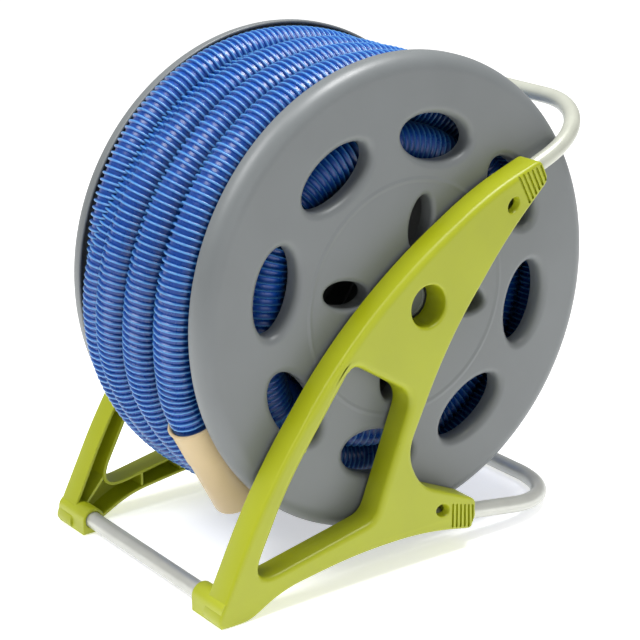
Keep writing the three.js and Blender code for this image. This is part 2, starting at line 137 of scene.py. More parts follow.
# The route's step in degrees, and how many of its points one point of the cord's path stands for.
ROUTE_STEP = 1.25
PATH_EVERY = 5
CUFF_ANGLE = 205.5
CUFF_TILT = 2
CUFF_LANE_X = 50
CUFF_LANE_R = 210
CUFF_LENGTH = 99

# How many sides the round shapes have, and the angle in degrees from which an edge looks sharp.
FLANGE_SIDES = 224
DRUM_SIDES = 160
HUB_SIDES = 96
CAP_SIDES = 72
CUFF_SIDES = 64
OVAL_SIDES = 56
TUBE_SIDES = 40
FRONT_TUBE_SIDES = 48
SCREW_SIDES = 36
RECESS_SIDES = 32
CREASE = 32

# ---- Mesh building ----------------------------------------------------------------------------


class Shell:
    """Points and faces of one piece."""

    def __init__(self):
        self.points = []
        self.faces = []

    def ring(self, points):
        first = len(self.points)
        self.points.extend(Vector(point) for point in points)
        return list(range(first, len(self.points)))

    def bridge(self, one, other):
        count = len(one)
        for i in range(count):
            j = (i + 1) % count
            self.faces.append((one[i], one[j], other[j], other[i]))

    def loft(self, rings, closed=False):
        indices = [self.ring(ring) for ring in rings]
        for one, other in zip(indices, indices[1:]):
            self.bridge(one, other)
        if closed:
            self.bridge(indices[-1], indices[0])
        return indices

    def cap(self, ring):
        self.faces.append(tuple(ring))

    def fill(self, loops):
        """Fills the flat area between an outer ring and the holes in it."""
        flat = [[Vector((0, *self.points[i].yz)) for i in loop] for loop in loops]
        order = [i for loop in loops for i in loop]
        for triangle in tessellate_polygon(flat):
            self.faces.append(tuple(order[i] for i in triangle))

    def piece(self, name, material, body, slot, replaces=(), mirror=False, crease=CREASE):
        """Makes the object, on its body, instead of the CAD nodes it replaces; slot is not used.
        """
        side = -1 if mirror else 1
        mesh = bpy.data.meshes.new(name)
        points = [(side * x * MM, y * MM, z * MM) for x, y, z in self.points]
        mesh.from_pydata([Vector(point) + AXLE for point in points], [], self.faces)
        face_out(mesh)
        mesh.shade_smooth()
        mesh.set_sharp_from_angle(angle=math.radians(crease))
        mesh.materials.append(material)
        piece = bpy.data.objects.new(name, mesh)
        bpy.context.collection.objects.link(piece)
        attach(piece, body)
        if replaces:
            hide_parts(*replaces)
        return piece


def face_out(mesh):
    work = bmesh.new()
    work.from_mesh(mesh)
    bmesh.ops.recalc_face_normals(work, faces=work.faces)
    work.to_mesh(mesh)
    work.free()


def circle(radius, x, sides, y=0, z=0):
    """A ring about a line along X."""
    angles = [2 * math.pi * i / sides for i in range(sides)]
    return [(x, y + radius * math.cos(a), z + radius * math.sin(a)) for a in angles]


def arc(centre_r, centre_x, radius, start, end, steps):
    """Profile points (radius, x) round a centre; angles in degrees from the radial direction."""
    angles = [math.radians(start + (end - start) * i / steps) for i in range(steps + 1)]
    return [(centre_r + radius * math.cos(a), centre_x + radius * math.sin(a)) for a in angles]


def turned(shell, profile, sides, closed=False, y=0, z=0):
    """Turns a profile of (radius, x) about a line along X."""
    return shell.loft([circle(radius, x, sides, y, z) for radius, x in profile], closed)


# ---- Side panels ------------------------------------------------------------------------------

# Corners of the outline: y, z, how far from the corner its rounding starts, and the width of the
# rounding of the face's edge there.
PANEL_CORNERS = [
    (-232, -250, 14, 3),
    (-196, -250, 9, 3),
    (-160, -231, 20, 3),
    (-80, -219.5, 36, 3),
    (0, -219, 36, 3),
    (58.5, -231, 7, 2.5),
    (62, -202, 7, 2.5),
    (-6, -172, 18, 4),
    (-21, -136, 18, 4.5),
    (22, -43, 48, 4),
    (88, 44.5, 34, 3),
    (139, 94.5, 7, 2.5),
    (129, 115, 7, 3),
    (68, 92, 33, 6),
    (-22, 37, 50, 7),
    (-97, -29, 49, 7),
    (-175, -131, 60, 5),
]
WINDOW_CORNERS = [
    (-197, -220, 36, 5),
    (-150, -129, 30, 7),
    (-83, -37, 12, 7),
    (-15, -80, 17, 7),
    (-57.5, -192, 11, 6),
]
RECESSES = [
    {"y": 97, "z": 77.5, "half_length": 8, "half_width": 6, "turn": 50},
    {"y": 21, "z": -203, "half_length": 8, "half_width": 6, "turn": -20},
]
RECESS_DEPTH = 7
RECESS_WALL = 1.5
# Each rib's middle and direction; it runs from wall to wall.
PANEL_RIBS = [
    ((-145, -218), (0, 1)),
    ((-100, -210), (0, 1)),
    ((-195, -214), (38, 44)),
    ((-142, -101), (20, -13)),
    ((-91, -39), (18, -18)),
    ((-22, -130), (28, -11)),
    ((-40, -207), (40, -25)),
]
# Grip grooves, as the two ends of the first and of the last of six.
GRIPS = [
    (((102, 103), (116.5, 76)), ((127.5, 110), (135.5, 94))),
    (((33, -199), (33, -223.5)), ((57, -206), (58, -229))),
]
GROOVE_COUNT = 6
GROOVE_WIDTH = 2.6
GROOVE_DEPTH = 2
GROOVE_TAPER = 1.2


def subdivided(path, longest=7):
    """The closed path with points added along its straight stretches."""
    points = []
    for (point, edge), (following, next_edge) in zip(path, path[1:] + path[:1]):
        length = (following - point).length
        if length < 0.3:
            continue
        pieces = max(1, math.ceil(length / longest))
        for i in range(pieces):
            share = i / pieces
            points.append((point.lerp(following, share), edge + (next_edge - edge) * share))
    return points


def rounded_path(corners):
    """Points round an outline, each with the width of its edge's rounding."""
    path = []
    for i, (y, z, cut, edge) in enumerate(corners):
        corner = Vector((y, z))
        before = Vector(corners[i - 1][:2])
        after = Vector(corners[(i + 1) % len(corners)][:2])
        start = corner + (before - corner).normalized() * cut
        end = corner + (after - corner).normalized() * cut
        steps = max(6, round(cut / 2.5))
        for k in range(steps + 1):
            t = k / steps
            point = start * (1 - t) ** 2 + corner * 2 * t * (1 - t) + end * t * t
            path.append((point, edge))
    return subdivided(path)


def moved_left(path, distance):
    """The path's points moved to its left, into the panel, by distance(edge)."""
    moved = []
    count = len(path)
    for i, (point, edge) in enumerate(path):
        into = (point - path[i - 1][0]).normalized()
        out = (path[(i + 1) % count][0] - point).normalized()
        mitre = Vector((-into.y - out.y, into.x + out.x)) / (1 + into.dot(out))
        moved.append(point + mitre * distance(edge))
    return moved


def wall_rings(path, steps=6):
    """From the flat face over its rounded edge, down the outer wall and up the inner wall."""
    rings = []

    def add(inset, x):
        points = moved_left(path, inset)
        depths = [x(edge) for _, edge in path]
        rings.append([(depth, *point) for depth, point in zip(depths, points)])

    add(lambda edge: edge + 1, lambda edge: PANEL_OUTER_X)
    for k in range(steps + 1):
        angle = math.radians(90 - 90 * k / steps)
        add(
            lambda edge: edge * (1 - math.cos(angle)),
            lambda edge: PANEL_OUTER_X - 0.8 * edge * (1 - math.sin(angle)),
        )
    lip = PANEL_EDGE
    for inset, x in (
        (0, PANEL_INNER_X + lip),
        (0.3 * lip, PANEL_INNER_X + 0.3 * lip),
        (lip, PANEL_INNER_X),
        (PANEL_WALL - lip, PANEL_INNER_X),
        (PANEL_WALL, PANEL_INNER_X + lip),
        (PANEL_WALL, PANEL_BACK_X - ROOT_FILLET),
        (PANEL_WALL + 0.3 * ROOT_FILLET, PANEL_BACK_X - 0.3 * ROOT_FILLET),
        (PANEL_WALL + ROOT_FILLET, PANEL_BACK_X),
    ):
        add(lambda edge: inset, lambda edge: x)
    return rings


def oblong(recess, grown, x):
    """A ring that follows a recess, grown by a distance."""
    turn = math.radians(recess["turn"])
    points = []
    for i in range(RECESS_SIDES):
        angle = 2 * math.pi * i / RECESS_SIDES
        u = (recess["half_length"] + grown) * math.cos(angle)
        v = (recess["half_width"] + grown) * math.sin(angle)
        y = recess["y"] + u * math.cos(turn) - v * math.sin(turn)
        z = recess["z"] + u * math.sin(turn) + v * math.cos(turn)
        points.append((x, y, z))
    return points


def add_panel_skin(shell):
    """The skin, its windows, hub and recesses, as one closed surface."""
    openings = [shell.loft(wall_rings(rounded_path(corners)))
                for corners in (PANEL_CORNERS, WINDOW_CORNERS)]
    mouth = HUB_MOUTH
    edge = PANEL_EDGE
    root = ROOT_FILLET
    hub = [(HUB_BORE_R + mouth + 1, PANEL_OUTER_X)]
    hub += arc(HUB_BORE_R + mouth, PANEL_OUTER_X - mouth, mouth, 90, 180, 6)
    hub += [
        (HUB_BORE_R, HUB_BOSS_INNER_X + edge), (HUB_BORE_R + edge, HUB_BOSS_INNER_X),
        (HUB_BOSS_R - edge, HUB_BOSS_INNER_X), (HUB_BOSS_R, HUB_BOSS_INNER_X + edge),
        (HUB_BOSS_R, PANEL_BACK_X - root), (HUB_BOSS_R + 0.3 * root, PANEL_BACK_X - 0.3 * root),
        (HUB_BOSS_R + root, PANEL_BACK_X),
    ]
    openings.append(turned(shell, hub, HUB_SIDES))
    for recess in RECESSES:
        floor = PANEL_OUTER_X - RECESS_DEPTH
        rings = [(2, PANEL_OUTER_X), (1.2, PANEL_OUTER_X), (0.5, PANEL_OUTER_X - 0.3),
                 (0.1, PANEL_OUTER_X - 0.9), (-RECESS_WALL, floor), (0, floor), (0, PANEL_BACK_X)]
        openings.append(shell.loft([oblong(recess, grown, x) for grown, x in rings]))
    shell.fill([rings[0] for rings in openings])
    shell.fill([rings[-1] for rings in openings])


def hit_wall(start, direction, paths):
    """Where a line from start first meets the middle of a wall."""
    nearest = None
    for path in paths:
        for one, other in zip(path, path[1:] + path[:1]):
            edge = other - one
            across = direction.cross(edge)
            if abs(across) < 1e-9:
                continue
            distance = (one - start).cross(edge) / across
            along = (one - start).cross(direction) / across
            if distance > 0 and 0 <= along <= 1 and (nearest is None or distance < nearest):
                nearest = distance
    return start + direction * nearest


def add_rib(shell, start, end):
    """A thin rib whose ends and outer edge are embedded in the panel's walls and plate."""
    across = Vector((start.y - end.y, end.x - start.x)).normalized() * RIB / 2
    corners = [start + across, start - across, end - across, end + across]
    inner = shell.ring([(PANEL_INNER_X + RIB_SET_BACK, *corner) for corner in corners])
    outer = shell.ring([(PANEL_OUTER_X - EMBEDDED, *corner) for corner in corners])
    shell.bridge(inner, outer)
    shell.cap(inner)
    shell.cap(outer)


def leg_point(tube, distance):
    """A point on a bent tube's leg in the right panel, from where the leg leaves the panel."""
    slope = math.radians(tube["slope"])
    return Vector((
        LEG_X,
        tube["y"] + distance * math.cos(slope),
        tube["z"] + distance * math.sin(slope),
    ))


def add_socket(shell, tube):
    """The round socket that holds one leg of a bent tube, flat where the panel ends."""
    slope = math.radians(tube["slope"])
    side = Vector((1, 0, 0))
    up = Vector((0, -math.sin(slope), math.cos(slope)))
    rings = []
    for radius, distance in (
        (SOCKET_R, SOCKET_START), (SOCKET_WALL_R, SOCKET_START),
        (SOCKET_WALL_R, SOCKET_MOUTH), (SOCKET_R, SOCKET_MOUTH),
    ):
        ring = []
        for i in range(TUBE_SIDES):
            angle = 2 * math.pi * i / TUBE_SIDES
            offset = side * math.cos(angle) * radius + up * math.sin(angle) * radius
            point = leg_point(tube, distance) + offset
            point.x = max(point.x, PANEL_INNER_X + 0.5)
            ring.append(point)
        rings.append(ring)
    shell.loft(rings, closed=True)


def arch(radius, x):
    """A ring round the front tube: round above, and square below, down to the floor."""
    points = []
    for i in range(TUBE_SIDES):
        angle = 2 * math.pi * i / TUBE_SIDES
        across, up = math.cos(angle), math.sin(angle)
        if up < 0:
            squareness = 1 / max(abs(across), abs(up))
            across *= squareness
            up *= squareness * BOSS_DROP / FRONT_BOSS_R
        points.append((x, FRONT_TUBE_Y + radius * across, FRONT_TUBE_Z + radius * up))
    return points


def add_foot_boss(shell):
    """The block on the front foot that holds the front tube's end."""
    end = PANEL_OUTER_X - EMBEDDED
    outside = [
        (FRONT_BOSS_R, end), (FRONT_BOSS_R, FRONT_BOSS_INNER_X + 0.8),
        (FRONT_BOSS_R - 0.8, FRONT_BOSS_INNER_X),
    ]
    bore = [
        (SOCKET_R + 0.6, FRONT_BOSS_INNER_X), (SOCKET_R, FRONT_BOSS_INNER_X + 0.6),
        (SOCKET_R, FRONT_TUBE_END_X + SOCKET_GAP),
    ]
    rings = [arch(radius, x) for radius, x in outside]
    rings += [circle(radius, x, TUBE_SIDES, FRONT_TUBE_Y, FRONT_TUBE_Z) for radius, x in bore]
    rings = shell.loft(rings)
    shell.cap(rings[0])
    shell.cap(rings[-1])


def groove_cutter():
    """Thin bars that cut the grip grooves into the outer face."""
    shell = Shell()
    for (first_top, first_bottom), (last_top, last_bottom) in GRIPS:
        for i in range(GROOVE_COUNT):
            share = i / (GROOVE_COUNT - 1)
            top = Vector(first_top).lerp(Vector(last_top), share)
            bottom = Vector(first_bottom).lerp(Vector(last_bottom), share)
            along = (bottom - top).normalized()
            across = Vector((-along.y, along.x)) * GROOVE_WIDTH / 2
            taper = along * GROOVE_TAPER
            corners = [
                top + across * 0.5, top + taper + across, bottom - taper + across,
                bottom + across * 0.5, bottom - across * 0.5, bottom - taper - across,
                top + taper - across, top - across * 0.5,
            ]
            floor = shell.ring([(PANEL_OUTER_X - GROOVE_DEPTH, *corner) for corner in corners])
            lid = shell.ring([(PANEL_OUTER_X + 2, *corner) for corner in corners])
            shell.bridge(floor, lid)
            shell.cap(floor)
            shell.cap(lid)
    return shell


def cut(piece, cutter):
    """Cuts a closed mesh out of a piece."""
    modifier = piece.modifiers.new("cut", "BOOLEAN")
    modifier.operation = "DIFFERENCE"
    modifier.solver = "EXACT"
    modifier.object = cutter
    bpy.context.view_layer.update()
    result = bpy.data.meshes.new_from_object(
        piece.evaluated_get(bpy.context.evaluated_depsgraph_get())
    )
    piece.modifiers.remove(modifier)
    piece.data = result


def temporary(shell, mirror):
    """A helper object made of a shell, to be removed after use."""
    mesh = bpy.data.meshes.new("cutter")
    side = -1 if mirror else 1
    points = [Vector((side * x, y, z)) * MM + AXLE for x, y, z in shell.points]
    mesh.from_pydata(points, [], shell.faces)
    face_out(mesh)
    cutter = bpy.data.objects.new("cutter", mesh)
    bpy.context.collection.objects.link(cutter)
    return cutter


def join_shell(piece, shell, mirror):
    """Adds a shell's faces to a finished piece."""
    extra = temporary(shell, mirror)
    work = bmesh.new()
    work.from_mesh(piece.data)
    work.from_mesh(extra.data)
    work.to_mesh(piece.data)
    work.free()
    bpy.data.objects.remove(extra)
    piece.data.shade_smooth()
    piece.data.set_sharp_from_angle(angle=math.radians(CREASE))


def side_panel(side, material):
    """A panel: its skin with the grip grooves cut in, then its ribs, sockets and foot boss."""
    mirror = side == "left"
    skin = Shell()
    add_panel_skin(skin)
    piece = skin.piece(f"panel_{side}", material, "stand", "lime_plastic",
                       [f"side_panel_{side}"], mirror)
    cutter = temporary(groove_cutter(), mirror)
    cut(piece, cutter)
    bpy.data.objects.remove(cutter)
    inside = Shell()
    walls = [moved_left(rounded_path(corners), lambda edge: PANEL_WALL / 2)
             for corners in (PANEL_CORNERS, WINDOW_CORNERS)]
    for middle, direction in PANEL_RIBS:
        middle, direction = Vector(middle), Vector(direction).normalized()
        start = hit_wall(middle, -direction, walls)
        end = hit_wall(middle, direction, walls)
        add_rib(inside, start, end)
    add_socket(inside, HANDLE)
    add_socket(inside, REAR)
    add_foot_boss(inside)
    join_shell(piece, inside, mirror)
    return piece


# ---- Tubes and screws -------------------------------------------------------------------------


def sweep(shell, path, profile, sides, closed=False):
    """Sweeps circles along a path of (point, side, up); profile lists (path index, radius)."""
    rings = []
    for index, radius in profile:
        point, side, up = path[index]
        angles = [2 * math.pi * i / sides for i in range(sides)]
        rings.append([
            point + side * math.cos(a) * radius + up * math.sin(a) * radius for a in angles
        ])
    return shell.loft(rings, closed)


def hairpin_path(tube, bend_steps=28):
    """A hairpin from the end in the right panel to the one in the left panel."""
    bend = tube["bend"]
    half_bar = LEG_X - bend
    straight = tube["straight"]
    stations = [(LEG_X, -LEG_IN_PANEL, 0)]
    stations += [(LEG_X, -LEG_IN_PANEL + (LEG_IN_PANEL + straight) * i / 6, 0) for i in (2, 4)]
    for i in range(bend_steps + 1):
        angle = math.pi / 2 * i / bend_steps
        stations.append((
            half_bar + bend * math.cos(angle), straight + bend * math.sin(angle), angle
        ))
    stations.append((0, straight + bend, math.pi / 2))
    mirrored = [(-x, out, math.pi - angle) for x, out, angle in stations[-2::-1]]
    slope = math.radians(tube["slope"])
    forward = Vector((0, math.cos(slope), math.sin(slope)))
    normal = Vector((0, -math.sin(slope), math.cos(slope)))
    path = []
    for x, out, angle in stations + mirrored:
        point = leg_point(tube, out)
        point.x = x
        tangent = Vector((-math.sin(angle), 0, 0)) + forward * math.cos(angle)
        path.append((point, normal, tangent.cross(normal)))
    return path


def bent_tube(name, tube, material, slot, replaces):
    """A bent tube with open ends."""
    shell = Shell()
    path = hairpin_path(tube)
    last = len(path) - 1
    outside = [(0, TUBE_BORE_R), (0, TUBE_R - TUBE_EDGE)]
    outside += [(i, TUBE_R) for i in range(last + 1)]
    outside += [(last, TUBE_R - TUBE_EDGE), (last, TUBE_BORE_R)]
    inside = [(i, TUBE_BORE_R) for i in range(last - 1, 0, -1)]
    sweep(shell, path, outside + inside, TUBE_SIDES, closed=True)
    return shell.piece(name, material, "stand", slot, [replaces])


def front_tube(material):
    shell = Shell()
    end = FRONT_TUBE_END_X
    edge = TUBE_EDGE
    profile = [
        (TUBE_BORE_R, end), (TUBE_R - edge, end), (TUBE_R, end - edge), (TUBE_R, 0),
        (TUBE_R, edge - end), (TUBE_R - edge, -end), (TUBE_BORE_R, -end), (TUBE_BORE_R, 0),
    ]
    turned(shell, profile, FRONT_TUBE_SIDES, closed=True, y=FRONT_TUBE_Y, z=FRONT_TUBE_Z)
    return shell.piece("foot_tube", material, "stand", "tube_metal", ["front_tube"])


def hexagon(radius, x, y, z):
    """A ring that follows a hexagon, with as many points as the screw's circles."""
    points = []
    for i in range(SCREW_SIDES):
        angle = 2 * math.pi * i / SCREW_SIDES
        flat = (angle + math.pi / 6) % (math.pi / 3) - math.pi / 6
        reach = radius * math.cos(math.pi / 6) / math.cos(flat)
        points.append((x, y + reach * math.cos(angle), z + reach * math.sin(angle)))
    return points


def screw(name, tube, material, replaces, mirror):
    """A round-headed screw with a hexagon socket, driven in from the panel's inner side."""
    _, y, z = leg_point(tube, -LEG_IN_PANEL / 2)
    seat = PANEL_INNER_X - SCREW_SEAT_GAP
    shoulder = seat - SCREW_HEAD_EDGE
    profile = [
        (SCREW_R, SCREW_END_X), (SCREW_R, seat),
        (SCREW_HEAD_R - 0.1, seat), (SCREW_HEAD_R, shoulder),
    ]
    profile += [
        (SCREW_HEAD_R * math.cos(a), shoulder - SCREW_HEAD * math.sin(a)) for a in (0.4, 0.8, 1.05)
    ]
    shell = Shell()
    rings = turned(shell, profile, SCREW_SIDES, y=y, z=z)
    socket_rings = shell.loft([
        hexagon(SCREW_SOCKET_R, profile[-1][1], y, z),
        hexagon(SCREW_SOCKET_R - 0.1, seat - SCREW_SOCKET_FLOOR, y, z),
    ])
    shell.bridge(rings[-1], socket_rings[0])
    shell.cap(socket_rings[-1])
    shell.cap(rings[0])
    return shell.piece(name, material, "stand", "steel", [replaces], mirror)


# ---- Flanges, drum and caps -------------------------------------------------------------------


def oval(hole, index, grown, x, radial):
    """A ring that follows a hole's oval; radial says that the oval is long radially."""
    angle = math.radians(hole["first"] + 360 / hole["count"] * index)
    out = Vector((math.cos(angle), math.sin(angle)))
    round_axle = Vector((-math.sin(angle), math.cos(angle)))
    points = []
    for i in range(OVAL_SIDES):
        turn = 2 * math.pi * i / OVAL_SIDES
        short = (hole["across"] + grown) * math.cos(turn)
        long = (hole["along"] + grown) * math.sin(turn)
        u, v = (long, short) if radial else (short, long)
        points.append((x, *(out * (hole["ring"] + u) + round_axle * v)))
    return points


def add_hole(shell, hole, index, radial, steps=8):
    """A trumpet-mouthed hole with a collar behind it."""
    fillet = hole["fillet"]
    back = FLANGE_BACK_X
    profile = [(fillet + 1, FLANGE_FACE_X)]
    for k in range(steps + 1):
        angle = math.radians(90 * k / steps)
        profile.append((
            fillet * (1 - math.sin(angle)), FLANGE_FACE_X - fillet * (1 - math.cos(angle))
        ))
    wall = FLANGE_WALL
    profile += [
        (0, COLLAR_X + 0.8), (0.25, COLLAR_X + 0.25), (0.8, COLLAR_X), (wall - 0.6, COLLAR_X),
        (wall, COLLAR_X + 0.6), (wall, back - 1.2), (wall + 0.4, back - 0.4), (wall + 1.2, back),
    ]
    return shell.loft([oval(hole, index, grown, x, radial) for grown, x in profile])


def rim_profile():
    """From the face over the rounded rim to the skirt's edge, and back inside."""
    corner = FLANGE_R - RIM_R
    centre_x = FLANGE_FACE_X - RIM_R
    inner = RIM_R - FLANGE_WALL
    edge = FLANGE_EDGE
    skirt_x = FLANGE_SKIRT_X + edge
    profile = [(corner - 1.5, FLANGE_FACE_X)]
    profile += arc(corner, centre_x, RIM_R, 90, 0, 14)
    profile += arc(FLANGE_R - edge, skirt_x, edge, 0, -90, 3)
    profile += arc(FLANGE_R - FLANGE_WALL + edge, skirt_x, edge, -90, -180, 3)
    profile += arc(corner, centre_x, inner, 0, 90, 6)
    return profile


def ridge_profile():
    """The faint ridge round the middle of the face."""
    face = FLANGE_FACE_X
    return [
        (RIDGE_R + RIDGE + 1, face), (RIDGE_R + RIDGE, face),
        (RIDGE_R + RIDGE_TOP, face + RIDGE_HEIGHT), (RIDGE_R - RIDGE_TOP, face + RIDGE_HEIGHT),
        (RIDGE_R - RIDGE, face), (RIDGE_R - RIDGE - 1, face),
    ]


def seat_profile():
    """The drum's seat on the flange's inner side, and the spigot inside the drum."""
    back = FLANGE_BACK_X
    edge = FLANGE_SKIRT_X
    return [
        (SEAT_R + 1, back), (SEAT_R, back - 1), (SEAT_R, edge + 0.3), (SEAT_R - 0.3, edge),
        (SPIGOT_R, edge), (SPIGOT_R, SPIGOT_X), (SPIGOT_INNER_R, SPIGOT_X),
        (SPIGOT_INNER_R, back - 1), (SPIGOT_INNER_R - 1, back),
    ]


def well_profile():
    """The well round the journal, the hollow journal itself and the hole for the tie rod."""
    back = FLANGE_BACK_X
    edge = FLANGE_SKIRT_X
    outer = WELL_R + FLANGE_WALL
    profile = [(WELL_R + WELL_MOUTH + 1, FLANGE_FACE_X)]
    profile += arc(WELL_R + WELL_MOUTH, FLANGE_FACE_X - WELL_MOUTH, WELL_MOUTH, 90, 180, 5)
    profile += [
        (WELL_R, WELL_FLOOR_X + 1), (WELL_R - 1, WELL_FLOOR_X),
        (JOURNAL_R + 1, WELL_FLOOR_X), (JOURNAL_R, WELL_FLOOR_X + 1),
        (JOURNAL_R, JOURNAL_END_X - 0.6), (JOURNAL_R - 0.6, JOURNAL_END_X),
        (JOURNAL_BORE_R + 0.4, JOURNAL_END_X), (JOURNAL_BORE_R, JOURNAL_END_X - 0.4),
        (JOURNAL_BORE_R, WELL_FLOOR_X), (ROD_HOLE_R, WELL_FLOOR_X), (ROD_HOLE_R, edge),
        (outer - 0.8, edge), (outer, edge + 0.8), (outer, back - 1), (outer + 1, back),
    ]
    return profile


def flange(side, material):
    shell = Shell()
    rim = turned(shell, rim_profile(), FLANGE_SIDES)
    ridge = turned(shell, ridge_profile(), FLANGE_SIDES)
    seat = turned(shell, seat_profile(), FLANGE_SIDES)
    well = turned(shell, well_profile(), HUB_SIDES)
    hand_holes = [add_hole(shell, HAND_HOLE, i, False) for i in range(HAND_HOLE["count"])]
    slots = [add_hole(shell, SLOT, i, True) for i in range(SLOT["count"])]
    shell.fill([rim[0], ridge[0]] + [rings[0] for rings in hand_holes])
    shell.fill([ridge[-1], well[0]] + [rings[0] for rings in slots])
    shell.fill([rim[-1], seat[0]] + [rings[-1] for rings in hand_holes])
    shell.fill([seat[-1], well[-1]] + [rings[-1] for rings in slots])
    return shell.piece(f"flange_dish_{side}", material, "reel", "grey_plastic",
                       [f"flange_{side}"], side == "left")


def drum(material):
    shell = Shell()
    profile = [(DRUM_INNER_R, DRUM_END_X), (DRUM_R, DRUM_END_X),
               (DRUM_R, -DRUM_END_X), (DRUM_INNER_R, -DRUM_END_X)]
    turned(shell, profile, DRUM_SIDES, closed=True)
    return shell.piece("drum_tube", material, "reel", "grey_plastic", ["drum"])


def axle_cap(side, material):
    """A thin cap with a raised rim and a shallow dimple."""
    shell = Shell()
    top = CAP_SEAT_X + CAP
    profile = [(0.5, CAP_PLUG_X), (CAP_PLUG_R, CAP_PLUG_X), (CAP_PLUG_R, CAP_SEAT_X),
               (CAP_R, CAP_SEAT_X)]
    profile += arc(CAP_R - 1, top - 1, 1, 0, 90, 4)
    profile += [(CAP_R - 2.2, top), (CAP_R - 2.8, top - 0.5), (3, top - 0.5), (2.4, top - 1),
                (0.5, top - 1)]
    rings = turned(shell, profile, CAP_SIDES)
    shell.cap(rings[0])
    shell.cap(rings[-1])
    return shell.piece(f"hub_cap_{side}", material, "reel", "grey_plastic",
                       [f"axle_cap_{side}"], side == "left")


# ---- Hose -------------------------------------------------------------------------------------

# How far from the axle the outer turns lie, and by how much they sink in at one angle.
OUTER_R = 210
DIP = 18
DIP_AT = 62
DIP_SHARPNESS = 4
INNER_R = 131.8
SECOND_R = 170.8
# The inner turns from the drum outwards: x, and how far from the axle.
INNER_TURNS = [
    (-67.5, INNER_R), (-22.5, INNER_R), (22.5, INNER_R), (67.5, INNER_R),
    (45, SECOND_R), (0, SECOND_R),
]
# The outer turns: angle, x, and how much nearer the axle than OUTER_R. Angles are in degrees,
# counted from +Y over +Z, and each turn adds 360.
OUTER_TURNS = [
    # the turn that climbs to the outside at the left flange, and dips under the next one
    (-1554.5, -8, 38), (-1525, -28, 34), (-1495, -50, 20), (-1460, -63, 8), (-1415, -66, 2),
    (-1322, -66, -4), (-1290, -67, 1), (-1264, -67.5, 10), (-1237, -66, 24),
    # down to the second layer, then out again as the strip between two outer turns
    (-1205, -60, 34), (-1165, -51, 39), (-1125, -46, 39), (-1055, -44, 31), (-1010, -42, 18),
    (-962, -39, 9), (-930, -47, 8), (-904, -60, 2), (-877, -67, 0),
    # three outer turns, each a hose further to the right
    (-835, -60, 0), (-800, -38, 0), (-765, -25, 0), (-695, -19, 0),
    (-602, -15, 0), (-570, -22, 0), (-544, -33, 0), (-517, -48, 0),
    (-475, -26, 0), (-440, 6, 0), (-405, 19, 0), (-335, 24, 0),
    (-242, 27, 0), (-210, 22, 0), (-184, 13, 0), (-157, -3, 0),
    (-115, 18, 0), (-80, 47, 0), (-45, 62, 0), (25, 66, 0),
    (118, 67.5, 0), (150, 66, 0), (176, 62, 0), (193, 54, 0),
]


def sunk(angle, radius):
    """How far from the axle a turn lies at an angle in degrees: only the outer ones sink in."""
    nearness = (1 + math.cos(math.radians(angle - DIP_AT))) / 2
    outer = max(0, (radius - SECOND_R) / (OUTER_R - SECOND_R))
    return radius - DIP * nearness**DIP_SHARPNESS * outer


def lane_stations():
    """(angle, x, distance from the axle before any sinking in) along the whole winding."""
    stations = []
    angle = OUTER_TURNS[0][0] - 360 * len(INNER_TURNS)
    for x, radius in INNER_TURNS:
        for share in (20, 60, 100, 140, 180, 220, 260, 300):
            stations.append((angle + share, x, radius))
        angle += 360
    for angle, x, nearer in OUTER_TURNS:
        stations.append((angle, x, OUTER_R - nearer))
    return stations


def smooth_between(stations, step):
    """Cubic interpolation of (angle, x, radius), with the slopes of a Catmull-Rom curve."""
    result = []
    last = len(stations) - 1

    def slope(i, axis):
        before, after = stations[max(i - 1, 0)], stations[min(i + 1, last)]
        return (after[axis] - before[axis]) / (after[0] - before[0])

    for i in range(last):
        here, there = stations[i], stations[i + 1]
        span = there[0] - here[0]
        count = max(1, round(span / step))
        for k in range(count):
            t = k / count
            weights = (2 * t**3 - 3 * t**2 + 1, t**3 - 2 * t**2 + t,
                       3 * t**2 - 2 * t**3, t**3 - t**2)
            values = [
                weights[0] * here[axis] + weights[1] * span * slope(i, axis)
                + weights[2] * there[axis] + weights[3] * span * slope(i + 1, axis)
                for axis in (1, 2)
            ]
            result.append((here[0] + span * t, *values))
    return result


def cuff_frame():
    """The cuff's mouth, the direction along it, and the direction away from the axle."""
    angle = math.radians(CUFF_ANGLE)
    tilted = math.radians(CUFF_ANGLE + CUFF_TILT)
    mouth = Vector((CUFF_LANE_X, CUFF_LANE_R * math.cos(angle), CUFF_LANE_R * math.sin(angle)))
    along = Vector((0, -math.sin(tilted), math.cos(tilted)))
    outward = Vector((0, math.cos(tilted), math.sin(tilted)))
    return mouth, along, outward


def hose_route():
    """Closely spaced points along the middle of the hose."""
    stations = lane_stations()
    route = []
    for angle, x, radius in smooth_between(stations, ROUTE_STEP):
        turn = math.radians(angle)
        radius = sunk(angle, radius)
        route.append(Vector((x, radius * math.cos(turn), radius * math.sin(turn))))
    mouth, along, _ = cuff_frame()
    last, x, radius = stations[-1]
    radius = sunk(last, radius)
    last = math.radians(last)
    start = Vector((x, radius * math.cos(last), radius * math.sin(last)))
    end = mouth - along * 6
    heading = Vector((-0.3, -math.sin(last), math.cos(last))).normalized()
    reach = (end - start).length / 3
    controls = (start, start + heading * reach, end - along * reach, end)
    count = 10
    for k in range(count):
        t = k / count
        weights = ((1 - t) ** 3, 3 * t * (1 - t) ** 2, 3 * t * t * (1 - t), t**3)
        route.append(sum((w * c for w, c in zip(weights, controls)), Vector()))
    route += [mouth + along * distance for distance in (-6, -2, 2, 6, 10, 14, HOSE_IN_CUFF)]
    return route


